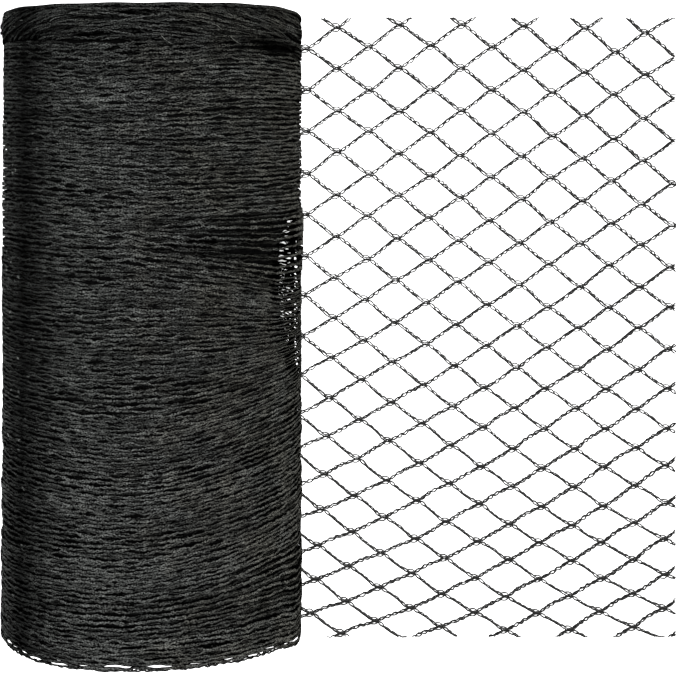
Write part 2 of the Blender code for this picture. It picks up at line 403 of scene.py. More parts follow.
def parted(theta, y):
    """Turns pushed aside round each parting: opening * tanh(q / edge) * e^(-|q| / reach),
    with q the distance along the roll, times a Gauss curve of the angle."""
    push = 0.0
    for degrees, middle, half_angle, opening, reach in PARTINGS:
        q = y - middle
        aside = opening * near(theta, degrees, half_angle)
        push = push + aside * np.tanh(q / PARTING_EDGE) * np.exp(-np.abs(q) / reach)
    return push


# Painted light and shade: how light the strands are drawn by their angle from the crown
def painted_light_and_shade(theta):
    angles, amounts = np.array(PAINTED_LIGHT_AND_SHADE).T
    return np.interp(np.degrees(turned(theta, 0.0)), angles, amounts)


def relief_fade(theta):
    """0 on the flattened underside, 1 above it."""
    return np.clip((np.cos(theta) - RELIEF_ENDS[0]) / (RELIEF_ENDS[1] - RELIEF_ENDS[0]), 0.0, 1.0)


def pressed(theta):
    """Share of the relief that is left: a quarter on the flattened underside, all above it."""
    return at_least(0.25, relief_fade(theta))


def hollow_here(theta, y):
    """Gauss curves of the angle and of the length round each hollow, cut off at 1."""
    deep = 0.0
    for degrees, middle, half_angle, half_length in HOLLOWS:
        deep = deep + near(theta, degrees, half_angle) * gauss(y - middle, half_length)
    return np.minimum(HOLLOW_CORE * deep, 1.0)


def slant_shift(theta, y):
    """Turns that climb towards the right side: slant * steps of the angle and of the length."""
    angle = np.mod(theta, TURN)
    around = step(angle, *SLANT_RISES) * (1.0 - step(angle, *SLANT_FADES))
    along = step(-y, *SLANT_BEGINS) * (1.0 - step(-y, *SLANT_ENDS))
    return SLANT * around * along


def fan_growth(theta):
    """Share of the slip: straight from none to all round the roll, and fading again."""
    start, full, fade, end = FAN_ANGLES
    angle = np.mod(theta, TURN)
    return np.clip((angle - start) / (full - start), 0.0, 1.0) * (1.0 - step(angle, fade, end))


def fan_shift(theta, y):
    """Slipped turns: at a distance q below the line where they part from their neighbours
    they move on by drop * step up to the near distance * (1 - step from near to far)."""
    q = FAN_START - y
    return -FAN_DROP * fan_growth(theta) * step(q, 0.0, FAN_NEAR) * (1.0 - step(q, FAN_NEAR, FAN_FAR))


def fanned(theta, y):
    """1 where the slipped turns fan out, 0 elsewhere."""
    return np.minimum(2.0 * fan_growth(theta), 1.0) * gauss(y - FAN_MIDDLE, FAN_HALF)


def axis(y):
    """x and z of the roll's axis: it drifts sideways, and its height is the radius less the
    depth by which the underside is pressed flat."""
    return sizes().lean * y / ROLL_LENGTH, roll_radius(y) - sizes().flat_sink


def on_roll(theta, y, out, lowest=0.0008):
    """Points at an angle from the crown and a height over the mean surface:
    x = axis + (r + out) sin, z = axis + (r + out) cos, never under the lowest z. The left
    side is swollen by the swell times sin^4 in its +Y half."""
    out = out + LEFT_SWELL * np.maximum(-np.sin(theta), 0.0) ** 4 * step(y, -0.02, 0.02)
    radius = roll_radius(y) + out
    axis_x, axis_z = axis(y)
    x, z = axis_x + radius * np.sin(theta), axis_z + radius * np.cos(theta)
    return np.stack(np.broadcast_arrays(x, y, np.maximum(z, lowest)), axis=-1)


def outward(theta):
    return np.stack(np.broadcast_arrays(np.sin(theta), 0.0 * theta, np.cos(theta)), axis=-1)


def ring_angles(fine, coarse):
    """Angles of the rings round the roll from the underside on: fine ones over the crown and
    the sides, coarse ones below."""
    near, far = TURN - math.radians(FINE_SIDE), TURN + math.radians(FINE_SIDE)
    return np.concatenate([
        np.linspace(math.pi, near, coarse // 2, endpoint=False),
        np.linspace(near, far, fine, endpoint=False),
        np.linspace(far, TURN + math.pi, coarse // 2, endpoint=False)])


def even_angles(strands, rings):
    """The same even angles, from the underside on, for every strand."""
    return np.broadcast_to(math.pi + TURN * np.arange(rings) / rings, (strands, rings))


# ------------------------ meshes


def unit(vectors):
    return vectors / np.maximum(np.linalg.norm(vectors, axis=-1, keepdims=True), 1e-12)


def new_mesh_object(name, points, faces, loop_uv, tone):
    """Puts whole arrays into a mesh: points (v, 3), faces (f, k), one UV pair a corner and
    one tone a point."""
    mesh = bpy.data.meshes.new(name)
    faces = np.asarray(faces, np.int32)
    mesh.vertices.add(len(points))
    mesh.vertices.foreach_set("co", np.asarray(points, np.float32).ravel())
    mesh.loops.add(faces.size)
    mesh.loops.foreach_set("vertex_index", faces.ravel())
    mesh.polygons.add(len(faces))
    mesh.polygons.foreach_set("loop_start", np.arange(0, faces.size, faces.shape[1], dtype=np.int32))
    mesh.update(calc_edges=True)
    mesh.uv_layers.new(name="UVMap").data.foreach_set("uv", np.asarray(loop_uv, np.float32).ravel())
    mesh.attributes.new("tone", "FLOAT", "POINT").data.foreach_set("value", np.asarray(tone, np.float32))
    mesh.shade_smooth()
    obj = bpy.data.objects.new(name, mesh)
    bpy.context.scene.collection.objects.link(obj)
    return obj


def ring_faces(strands, rings, sides, closed):
    """Quads between neighbouring rings of every strand, and their (ring, side) corners."""
    spans = rings if closed else rings - 1
    s, k, j = np.meshgrid(np.arange(strands), np.arange(spans), np.arange(sides), indexing="ij")
    ring_next, side_next = (k + 1) % rings, (j + 1) % sides

    def corner(ring, side):
        return (s * rings + ring) * sides + side

    quads = np.stack([corner(k, j), corner(ring_next, j), corner(ring_next, side_next),
                      corner(k, side_next)], axis=-1)
    along = np.stack([k, k + 1, k + 1, k], axis=-1)
    around = np.stack([j, j, j + 1, j + 1], axis=-1)
    return quads.reshape(-1, 4), along.reshape(-1, 4), around.reshape(-1, 4), s.ravel()


def tubes(centre, normal, half_width, half_height, sides, closed, loops_per_metre, tone, start=0.0):
    """Tubes round many paths at once. Round each path point a ring of points stands at
    centre + width * cos(a) * across + height * sin(a) * normal, with across = travel x normal,
    grown so that a ring of few sides has the area of its ellipse. Open tubes draw in to a
    point-like ring at both ends, so they are closed too. Loops are counted from the start."""
    strands, rings = centre.shape[:2]
    if closed:
        travel = unit(np.roll(centre, -1, axis=1) - np.roll(centre, 1, axis=1))
    else:
        travel = unit(np.gradient(centre, axis=1))
    across = unit(np.cross(travel, normal))
    normal = np.cross(across, travel)
    width = np.broadcast_to(half_width, (strands, rings)).copy()
    height = np.broadcast_to(half_height, (strands, rings)).copy()
    if not closed:
        for ends in (width, height):
            ends[:, [0, -1]] *= 0.05
    angle = TURN * (np.arange(sides) + 0.5) / sides
    grow = math.sqrt(TURN / (sides * math.sin(TURN / sides)))
    width, height = width * grow, height * grow
    points = centre[:, :, None] + (
        (width[..., None] * np.cos(angle))[..., None] * across[:, :, None]
        + (height[..., None] * np.sin(angle))[..., None] * normal[:, :, None])
    quads, along, around, owner = ring_faces(strands, rings, sides, closed)
    gaps = np.linalg.norm(np.roll(centre, -1, axis=1) - centre, axis=-1)
    run = np.concatenate([np.zeros((strands, 1)), np.cumsum(gaps, axis=1)], axis=1)
    begin = np.broadcast_to(start, (strands,))[owner][:, None]
    passed = run[owner[:, None], along] * loops_per_metre + begin
    loop_uv = np.stack([passed, (around + 0.5) / sides], axis=-1)
    tones = np.broadcast_to(tone, (strands, rings))
    return points.reshape(-1, 3), quads, loop_uv, np.repeat(tones.ravel(), sides)


def joined(parts):
    """Several (points, faces, uv, tone) sets as one."""
    points, faces, uv, tone = zip(*parts)
    offsets = np.cumsum([0] + [len(part) for part in points[:-1]])
    faces = [part + offset for part, offset in zip(faces, offsets)]
    return [np.concatenate(values) for values in (points, faces, uv, tone)]


def finish_piece(obj, material, replaced):
    obj.data.materials.append(material)
    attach(obj, BODY)
    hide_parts(replaced)


def wound_tubes(theta, y, lift, width, height, sides, tone, start=0.0, lowest=0.0008, closed=True):
    """Tubes at an angle, a y and a lift over the roll's mean surface."""
    return tubes(on_roll(theta, y, lift, lowest), outward(theta), width, height, sides, closed,
                 LOOPS_PER_METRE, tone, start)


def wound_piece(name, shape):
    """Piece of the wound roll, made of strands."""
    finish_piece(new_mesh_object(name, *shape), strand_material(), "wound_roll")


# ------------------------ materials

# Knitted look of the strands
WANDER_SCALE = 260.0  # how fine the noise is that leads the threads astray
WANDER = 2.4  # and how far it leads them
ROUGH_EDGE = 0.8
BEADS_A_LOOP = 3.3
BEAD_LEAN = 1.2
SLIT_PLACE = (0.9, 1.1)  # scales of the slits' noise along and across the strand
SLIT_FROM = 0.50  # noise over which a slit opens
SLIT_SHARPNESS = 7.0
GRAIN_LIMITS = (0.1, 1.07)
DARKEST = 0.02
WARM_PATCHES = 70.0  # how fine the patches of warmer strands are
WARM_BY_PATCH = 2.5
WARM_PER_METRE = 14.0  # share of the warm colour gained towards +X
BUMP_DISTANCE = 0.0004


def feed(tree, receiver, inputs):
    """Links a node's inputs to the given outputs, or sets them to the given values."""
    for key, value in inputs.items():
        if isinstance(value, bpy.types.NodeSocket):
            tree.links.new(value, receiver.inputs[key])
        elif value is not None:
            receiver.inputs[key].default_value = value


def node(tree, kind, inputs=None, **settings):
    made = tree.nodes.new(kind)
    for key, value in settings.items():
        setattr(made, key, value)
    feed(tree, made, inputs or {})
    return made


def maths(tree, operation, first, second=None):
    return node(tree, "ShaderNodeMath", {0: first, 1: second}, operation=operation).outputs[0]


def arithmetic(tree):
    """Functions that add a sum, a difference or a product to a tree."""
    return [partial(maths, tree, operation) for operation in ("ADD", "SUBTRACT", "MULTIPLY")]


def limited(tree, value, low, high):
    return maths(tree, "MINIMUM", maths(tree, "MAXIMUM", value, low), high)


def noise(tree, vector, scale, detail=2.0):
    inputs = {"Vector": vector, "Scale": scale, "Detail": detail}
    return node(tree, "ShaderNodeTexNoise", inputs).outputs[0]


def knitted_loops_group():
    """Shared effect: the threads inside a knitted strand. Across the strand s = cos(2 pi v).
    Thread i lies at c = place + swing * sin(2 pi (waves * u + phase)), moved a little by noise,
    and stands up as 1 - ((s - c) / width)^2. The highest thread shows and is drawn light, with
    painted shade between the threads. Beads along the strand are a sine of 3.3 u whose lean
    across the strand comes from the noise, painted light and shade on the loops. Slits are
    painted shade where another noise, drawn out along the strand, is high, and the strand gets
    darker towards its edges, also painted shade."""
    group = bpy.data.node_groups.get("knitted_loops")
    if group:
        return group
    group = bpy.data.node_groups.new("knitted_loops", "ShaderNodeTree")
    for name in ("Grain", "Contrast", "Depth", "Beads", "Edge", "Slits"):
        group.interface.new_socket(name, in_out="INPUT", socket_type="NodeSocketFloat")
    group.interface.new_socket("Height", in_out="OUTPUT", socket_type="NodeSocketFloat")
    group.interface.new_socket("Shade", in_out="OUTPUT", socket_type="NodeSocketFloat")
    settings = node(group, "NodeGroupInput").outputs
    plus, minus, times = arithmetic(group)
    uv = node(group, "ShaderNodeUVMap", uv_map="UVMap").outputs[0]
    along, around, _ = node(group, "ShaderNodeSeparateXYZ", {0: uv}).outputs
    where = node(group, "ShaderNodeTexCoord").outputs["Object"]
    grain = minus(noise(group, where, settings["Grain"]), 0.5)
    wander = times(minus(noise(group, where, WANDER_SCALE), 0.5), WANDER)
    across = plus(maths(group, "COSINE", times(around, TURN)), times(grain, ROUGH_EDGE))
    highest = 0.0
    for place, swing, waves_a_loop, phase, width in SUB_THREADS:
        turns = plus(plus(times(along, waves_a_loop), phase), wander)
        centre = plus(times(maths(group, "SINE", times(turns, TURN)), swing), place)
        away = maths(group, "DIVIDE", minus(across, centre), width)
        highest = maths(group, "MAXIMUM", minus(1.0, times(away, away)), highest)
    lean = times(times(across, wander), BEAD_LEAN)
    bead = plus(times(along, BEADS_A_LOOP), plus(lean, wander))
    beads = plus(times(maths(group, "SINE", times(bead, TURN)), settings["Beads"]), 1.0)
    body = plus(minus(1.0, settings["Depth"]), times(highest, settings["Depth"]))
    place = {0: times(along, SLIT_PLACE[0]), 1: times(across, SLIT_PLACE[1])}
    place = node(group, "ShaderNodeCombineXYZ", place).outputs[0]
    slit = times(minus(noise(group, place, 1.0, 1.0), SLIT_FROM), SLIT_SHARPNESS)
    slits = minus(1.0, times(limited(group, slit, 0.0, 1.0), settings["Slits"]))
    body = times(times(body, beads), slits)
    grainy = limited(group, plus(times(grain, settings["Contrast"]), 1.0), *GRAIN_LIMITS)
    edge = times(maths(group, "POWER", maths(group, "ABSOLUTE", across), 2.0), settings["Edge"])
    shade = times(times(body, grainy), maths(group, "MAXIMUM", minus(1.0, edge), 0.0))
    shade = maths(group, "MAXIMUM", shade, DARKEST)
    node(group, "NodeGroupOutput", {"Height": plus(highest, grain), "Shade": shade})
    return group


def thread_material(name, colour, roughness, gloss, bump, loops_look, warm=None):
    """Dark plastic thread: its colour times the piece's tone and the loop shade. Where a warm
    colour is given, it takes over towards +X, in patches of a slow noise."""
    material = bpy.data.materials.get(name)
    if material:
        return material
    material = bpy.data.materials.new(name)
    material.use_nodes = True
    tree = material.node_tree
    plus, minus, times = arithmetic(tree)
    loops = node(tree, "ShaderNodeGroup", loops_look, node_tree=knitted_loops_group()).outputs
    tone = node(tree, "ShaderNodeAttribute", attribute_name="tone").outputs["Fac"]
    hue = (*colour, 1.0)
    if warm:
        where = node(tree, "ShaderNodeTexCoord").outputs["Object"]
        place = node(tree, "ShaderNodeSeparateXYZ", {0: where}).outputs[0]
        patches = times(minus(noise(tree, where, WARM_PATCHES), 0.5), WARM_BY_PATCH)
        share = plus(times(place, WARM_PER_METRE), patches)
        hue = node(tree, "ShaderNodeMix", {"A": hue, "B": (*warm, 1.0), "Factor": share},
                   data_type="RGBA").outputs["Result"]
    shaded = {"A": (0.0, 0.0, 0.0, 1.0), "B": hue, "Factor": times(tone, loops["Shade"])}
    shaded = node(tree, "ShaderNodeMix", shaded, data_type="RGBA", clamp_factor=False)
    relief = {"Strength": bump, "Distance": BUMP_DISTANCE, "Height": loops["Height"]}
    feed(tree, tree.nodes["Principled BSDF"], {
        "Base Color": shaded.outputs["Result"], "Roughness": roughness, "Specular IOR Level": gloss,
        "Normal": node(tree, "ShaderNodeBump", relief).outputs["Normal"]})
    return material


def strand_material():
    look = {"Grain": 1500.0, "Contrast": 5.0, "Depth": 0.97, "Beads": 0.30, "Edge": 0.45, "Slits": 0.80}
    return thread_material("wound_strand", tuple(colours().strand), 0.5, 0.0, 1.0, look,
                           tuple(colours().strand_warm))


# Near-black painted shade for the body under the strands
def hollow_material():
    look = {"Grain": 700.0, "Contrast": 2.0}
    return thread_material("packed_turns", tuple(colours().hollow), 0.7, 0.0, 0.9, look)


def net_material():
    look = {"Grain": 1500.0, "Contrast": 1.0, "Edge": 0.2}
    return thread_material("net_thread", tuple(colours().net), 0.5, 0.08, 0.4, look)


# ------------------------ packed turns


BODY_INSETS = (0.0022, 0.0056)  # how far the body stops inside each end
BODY_DEPTH = 0.0015
RIPPLE = (0.0003, 0.0047)  # height and pitch of the body's turns
GROOVE = (0.0012, 0.0022)  # depth and half width of the groove beside the lip
BODY_DRAWS_IN = 0.0050  # depth gained at the -Y end, over the last part of the length
DRAW_IN_FROM = 0.0120
END_DISH = 0.0040
BODY_UV = (60.0, 110.0)


def packed_turns():
    """The dark body under the strands, drawn almost black as painted shade: rings along the
    roll at mean radius minus a depth, with a fine ripple for every turn. Its ends are dished
    discs, deeper by 1 - part^2 of the radius."""
    rng = np.random.default_rng(SEEDS["packed_turns"])
    around, along, rings_in = 160, 120, 8
    theta = TURN * np.arange(around) / around
    top, bottom = end_y(0, theta) - BODY_INSETS[0], end_y(1, theta) + BODY_INSETS[1]
    y = top + (bottom - top) * np.linspace(0.0, 1.0, along)[:, None]
    depth = BODY_DEPTH + 0.0002 * waves(rng, theta, y, 6, 9, 60.0) + RIPPLE[0] * np.sin(TURN * y / RIPPLE[1])
    depth += GROOVE[0] * gauss(y - lip_y(theta), GROOVE[1]) + slack_depth(theta, y)
    depth += BODY_DRAWS_IN * step(y, end_y(1, theta) + DRAW_IN_FROM, bottom)
    body = on_roll(theta, y, -depth * relief_fade(theta), 0.0002)
    part = np.linspace(1.0, 0.0, rings_in + 1)[1:-1, None, None]
    caps = []
    for end, rim in ((0, body[0]), (1, body[-1])):
        axis_x, axis_z = axis(END_BASES[end])
        middle = np.array([axis_x, 0.0, axis_z])
        rings = middle + (rim - middle) * part
        rings[..., 1] = rim[:, 1] - (1 - 2 * end) * END_DISH * (1.0 - part[..., 0] ** 2)
        caps.append(rings)
    grid = np.concatenate([caps[0][::-1], body, caps[1]])
    points = np.concatenate([grid.reshape(-1, 3), [cap[-1].mean(axis=0) for cap in caps]])
    count = len(grid)
    k, j = np.meshgrid(np.arange(count - 1), np.arange(around), indexing="ij")
    after = (j + 1) % around
    quads = np.stack([k * around + j, (k + 1) * around + j, (k + 1) * around + after,
                      k * around + after], axis=-1).reshape(-1, 4)
    first, last, base = count * around, count * around + 1, (count - 1) * around
    spoke = np.arange(0, around, 2)
    after = (spoke + 2) % around
    cap = np.stack([np.full_like(spoke, first), spoke, spoke + 1, after], axis=-1)
    other = np.stack([np.full_like(spoke, last), base + after, base + spoke + 1, base + spoke], axis=-1)
    faces = np.concatenate([quads, cap, other])
    uv = np.stack([faces % around / around * BODY_UV[0], faces // around / count * BODY_UV[1]], axis=-1)
    obj = new_mesh_object("packed_turns", points, faces, uv, np.ones(len(points)))
    finish_piece(obj, hollow_material(), "wound_roll")


# ------------------------ wound strands


def freedom(theta, level):
    """How freely the strands swing: |cos| of the angle, so little at the sides, and from there
    0.6 of the way back to 1 in the -Y half."""
    cosine = np.abs(np.cos(theta))
    return cosine + 0.6 * (1.0 - cosine) * step(-level, 0.030, 0.060)


def slim(theta, row, y, level):
    """1 for every third strand where the slipped turns fan out and aren't loose."""
    return fanned(theta, level) * (row % 3 == 1) * (1.0 - looseness(theta, y))


def strand_places(rng, layer, theta, row):
    """Level, y and beat of the strands. The levels share out the way from the lip to the -Y
    end, crowding and thinning out in waves. y is level + sign * beat * size * pitch / 2: the
    beat is a triangle wave and the sign alternates, so neighbours meet and part as long closed
    diamonds, more often on the left side. Waves of the strand and of the layer move y, and
    then the slip, which is less in the layers below, the slant and the partings."""
    share = (row + 0.5 + rng.normal(0.0, 0.10, row.shape)) / len(row)
    share = np.clip(share + 0.0032 * np.sin(TURN * 9.0 * share + layer.seed), 0.002, 0.998) ** CLOSER_AT_LIP
    first, last = lip_y(theta) - 0.0004, end_y(1, theta) - 0.0003 + layer.short
    level = first + (last + run_out(theta) - first) * share - run_out(theta) * share**9
    warp = 2.0 * waves(rng, theta, level, 5, 4, 14.0) + rng.normal(0.0, 0.4, row.shape)
    beat = triangle(sizes().meetings * theta + LONGER_ON_RIGHT * np.cos(theta) + warp)
    free = freedom(theta, level)
    size = layer.swing * np.maximum(0.1, 1.0 + 0.5 * waves(rng, theta, level, 6, 13, 120.0))
    size = size * at_least(np.where(np.sin(theta) > 0.0, 0.7, 0.3), free) * (1.0 - 0.5 * fanned(theta, level))
    wiggle = sum(height * waves(rng, theta, row * stride, count, turns)
                 for height, stride, count, turns in STRAND_WIGGLES)
    sign = np.where(row % 2 == 0, 1.0, -1.0)
    y = level + sign * beat * size * (first - last) / len(row) / 2.0 + wiggle * at_least(0.2, free)
    y = y + 0.0011 * waves(rng, theta, level, 5, 4, 12.0) * at_least(0.35, free) * (1.0 - share**14)
    slip = 1.0 if layer.sinks == 0.0 else 0.45
    y = y + slip * fan_shift(theta, level) + slant_shift(theta, level)
    return level, np.clip(y + parted(theta, y), last - 0.0006, first + 0.0006), beat


def strand_lift(rng, layer, theta, row, y, level, beat):
    """Lift over the mean surface: the layer's height and waves, lower by up to 0.3 mm where
    neighbours meet or lie farthest apart, less the layer's share of the slack, and less
    0.6 mm in a hollow."""
    lift = 0.00030 * waves(rng, theta, row * 0.61, 6, 22) - 0.0003 * np.abs(beat)
    lift = lift * at_least(np.where(np.sin(theta) > 0.0, 1.0, 0.3), freedom(theta, level))
    lift = layer.height + lift - layer.sinks * slack_depth(theta, y) - 0.0006 * hollow_here(theta, y)
    return lift * pressed(theta)


def strand_width(rng, layer, theta, row, y, level):
    """Half width: the layer's own and waves. Loose strands are slimmer, but wide on the right
    edge of the roll. All are a little slimmer on the right side of the +Y half and at the -Y
    rim, and wider in the -Y half."""
    width = layer.thickness * (1.0 + 0.24 * waves(rng, theta, row * 0.23, 6, 60))
    loose, fan = looseness(theta, y), fanned(theta, level)
    width = width * (1.0 - (0.62 if layer.sinks > 0.5 else 0.48) * loose * (1.0 - 0.9 * fan))
    width = width * (1.0 + loose * gauss(turned(theta, RIGHT_EDGE), 0.19) * (1.1 + 1.6 * fan))
    width = width * (1.0 - 0.10 * right_side(theta) * (1.0 - step(-y, 0.04, 0.08)))
    width = width * (1.0 - 0.20 * step(end_y(1, theta) + 0.0052 - y, 0.0, 0.0025))
    width = width * (1.0 + 0.07 * step(-y, 0.055, 0.085))
    if layer.sinks == 0.0:
        width = width * (1.0 - 0.5 * slim(theta, row, y, level))
    return width


def strand_tone(rng, layer, theta, row, y, level, lift):
    """Tone: the layer's light, which is painted shade on the layers below, and the painted light
    and shade by angle, times waves, a tone of the strand's own and its lift, so that strands
    that lie lower get painted shade. It grows towards -Y, with a rise about y = 50 mm, both
    painted light and shade along the roll, and is darker beside the lip on the right, in the
    hollows and in the fan, all painted shade. On the right side the outer layer is drawn
    lighter and the layers below darker, painted light and shade."""
    tone = 1.0 + 0.16 * waves(rng, theta, row * 0.71, 6, 30) + rng.normal(0.0, 0.09, row.shape)
    # Painted shade: the lower a strand lies, the darker it is drawn
    tone = tone + 0.14 * waves(rng, theta, row * 0.31, 6, 70) + 0.6 * (lift - layer.height) / 0.001
    # Painted light and shade along the roll: lighter towards -Y and about y = 50 mm
    tone = tone - 0.14 + 0.26 * step(-y, -0.005, 0.05) + 0.10 * gauss(y - 0.05, 0.03)
    # Painted shade beside the groove of the lip, from the crown to the right side
    beside_lip = 0.54 * step(from_crown(theta), -0.25, 0.10) - 0.28 * step(from_crown(theta), 1.0, 1.25)
    tone = tone * (1.0 - beside_lip * gauss(lip_y(theta) - y, 0.0045))
    # Painted light and shade: on the right side the outer strands are drawn lighter and the layers below
    # darker, and in the fan darker
    if layer.sinks == 0.0:
        tone = tone * (1.0 + 0.15 * right_side(theta) - 0.4 * slim(theta, row, y, level))
    else:
        tone = tone * (1.0 - 0.35 * right_side(theta)) * (1.0 - 0.55 * fanned(theta, level))
    # The layer's light is painted shade on the layers below; the hollows get painted shade too
    return layer.light * painted_light_and_shade(theta) * np.clip(tone, 0.05, 1.35) * (1.0 - 0.85 * hollow_here(theta, y))


def glints(rng, theta):
    """1 at about one point in eighty on the left side, where a thread catches the light, and
    fewer towards the crown and the underside."""
    left = (1.0 - step(from_crown(theta), -1.05, -0.40)) * step(from_crown(theta), -1.65, -1.30)
    return (rng.random(theta.shape) > 0.988) * left


def wound_layer(layer):
    """One layer of the wound net as closed strands side by side, shared out over its pieces."""
    rng = np.random.default_rng(layer.seed)
    strands = sizes().strands - layer.fewer
    angles = ring_angles(*layer.rings)
    theta = np.broadcast_to(angles, (strands, len(angles)))
    row = np.arange(strands)[:, None]
    level, y, beat = strand_places(rng, layer, theta, row)
    lift = strand_lift(rng, layer, theta, row, y, level, beat)
    width = strand_width(rng, layer, theta, row, y, level)
    tone = strand_tone(rng, layer, theta, row, y, level, lift)
    begin = rng.uniform(0.0, 40.0, strands)
    tone = tone + 2.6 * layer.light * glints(rng, theta)
    for number, part in enumerate(np.array_split(np.arange(strands), layer.pieces)):
        wound_piece(f"{layer.name}_{number + 1}", wound_tubes(
            theta[part], y[part], lift[part], width[part], 0.60 * width[part], layer.sides,
            tone[part], begin[part]))


# ------------------------ lip and ends


def folded_lip():
    """Tangled strands of the folded edge at the +Y end. A strand's place between the groove
    and the end is its own share plus a rise that is the same for all, taken modulo 1: the
    strands climb from the groove to the crown and fall again beyond it, and one that gets to
    an edge dives under the lip. Two looser layers lie over a dark one, whose darkness is
    painted shade. Each strand is drawn lighter on the crown of the lip and darker where it
    dives under, painted light and shade."""
    rng = np.random.default_rng(SEEDS["folded_lip"])
    parts = []
    for strands, rings, sunk, light, half, loose in LIP_LAYERS:
        theta = even_angles(strands, rings)
        row = np.arange(strands)[:, None]
        low, high = lip_y(theta) + 0.0002, end_y(0, theta) - 0.0010
        away = turned(theta, 2.0)
        climb = -step(-away, 0.30, 1.30) - 0.8 * step(away, 0.15, 1.40)
        climb = climb * (1.0 - step(np.abs(away), 1.6, 2.6))
        swing = loose * waves(rng, theta, row * 0.9, 6, 15) * at_least(0.3, np.abs(np.cos(theta)))
        place = np.mod((row + rng.uniform(0.2, 0.8, (strands, 1))) / strands + climb + swing, 1.0)
        y = low + (high - low) * place
        y = np.minimum(y + 0.6 * parted(theta, y), high)
        crown = np.sin(math.pi * place) ** 0.4
        lift = -0.0018 + 0.0028 * crown + 0.0004 * waves(rng, theta, row * 0.5, 6, 26)
        lift = lift - 0.0022 * (1.0 - step(np.minimum(place, 1.0 - place), 0.0, 0.05))
        lift = (lift - sunk) * pressed(theta) - 0.0008 * step(np.sin(theta), 0.8, 0.95)
        width = half * (1.0 + 0.25 * waves(rng, theta, row * 0.3, 6, 60))
        tone = 0.85 + 0.30 * waves(rng, theta, row * 0.7, 6, 25) + rng.normal(0.0, 0.15, (strands, 1))
        # Painted light and shade: the layer's light, the crown of the lip and the angle from the crown
        tone = light * painted_light_and_shade(theta) ** 0.75 * np.clip(tone + 0.6 * (crown - 0.8), 0.05, 1.5)
        begin = rng.uniform(0.0, 40.0, strands)
        parts.append(wound_tubes(theta, y, lift, width, 0.65 * width, 4, tone, begin))
    wound_piece("folded_lip", joined(parts))


def lip_hem():
    """Smooth doubled edge of the folded lip: one even ring round the end."""
    rng = np.random.default_rng(SEEDS["lip_hem"])
    theta = even_angles(1, 240)
    y = end_y(0, theta) - 0.0008 + 0.00015 * waves(rng, theta, 0.0, 5, 18)
    lift = (-0.0006 + 0.0001 * waves(rng, theta, 0.0, 5, 14)) * pressed(theta)
    # Its tone, 0.42 times the painted light and shade by angle, is painted shade on the fold
    shape = wound_tubes(theta, y, lift, 0.00085, 0.00085, 8, 0.42 * painted_light_and_shade(theta), lowest=0.0012)
    wound_piece("lip_hem", shape)


def stray_threads():
    """Single pulled threads on the lip, each bowed aside between its two ends."""
    parts = []
    share = np.linspace(0.0, 1.0, 12)[None]
    arch = np.sin(math.pi * share)
    for degrees, y, degrees_2, y_2, bow in STRAY_THREADS:
        theta = np.radians(degrees + (degrees_2 - degrees) * share)
        along = y + (y_2 - y) * share + bow * arch
        lift = 0.0014 + 0.0006 * arch
        parts.append(wound_tubes(theta, along, lift, 0.00024, 0.00024, 5, 2.0, closed=False))
    wound_piece("stray_threads", joined(parts))


def rim_cord():
    """Last threads of the netting at the -Y end: two thin rings, 0.6 and 0.9 mm inside it on
    the average, that cross and part."""
    rng = np.random.default_rng(SEEDS["rim_cord"])
    theta = np.broadcast_to(ring_angles(720, 80), (2, 800))
    row = np.arange(2)[:, None]
    y = end_y(1, theta) + 0.0006 + 0.0003 * row + 0.00030 * waves(rng, theta, row * 0.5, 9, 150)
    lift = (-0.0003 + 0.0002 * waves(rng, theta, row * 0.5, 5, 20)) * pressed(theta)
    # Its tone carries the painted light and shade by angle
    shape = wound_tubes(theta, y, lift, 0.00032, 0.00032, 5, 0.8 * painted_light_and_shade(theta), lowest=0.0012)
    wound_piece("rim_cord", shape)


def end_winding(end):
    """Edges of the wound layers on one end: spirals r = r0 + (base - r0) * share of the angle,
    on the dished end. They wander in and out, less towards the middle and the rim."""
    rng = np.random.default_rng(SEEDS["end_winding"] + end)
    side = 1.0 - 2.0 * end
    spirals, turns, per_turn = 3, 21, 64
    rings = turns * per_turn
    angle = np.broadcast_to(TURN * np.arange(rings) / per_turn, (spirals, rings))
    theta = side * angle + TURN * np.arange(spirals)[:, None] / spirals
    share = angle / angle[0, -1]
    inner, rim = 0.0025, roll_radius(END_BASES[end]) - (0.0012, 0.0034)[end]
    settled = np.sin(math.pi * share) ** 0.4 * np.minimum(2.5 * share, 1.0)
    radius = inner + (rim - inner) * share + 0.0006 * waves(rng, theta, angle * 0.021, 7, 14) * settled
    lie = end_y(end, theta) - side * (0.0035 * (1.0 - share**2) + 0.0018)
    lie = lie + side * 0.0006 * waves(rng, theta, angle * 0.033, 7, 17) * settled
    axis_x, axis_z = axis(END_BASES[end])
    z = np.maximum(axis_z + radius * np.cos(theta), 0.0008)
    centre = np.stack([axis_x + radius * np.sin(theta), lie, z], axis=-1)
    normal = np.broadcast_to(np.array([0.0, side, 0.0]), centre.shape)
    width = 0.00068 * (1.0 + 0.25 * waves(rng, theta, angle * 0.05, 6, 40))
    tone = np.clip(0.9 + 0.25 * waves(rng, theta, angle * 0.07, 6, 25), 0.1, 1.5)
    wound_piece(f"end_winding_{end}",
                tubes(centre, normal, width, width, 3, False, END_LOOPS_PER_METRE, tone))


# ------------------------ loose net


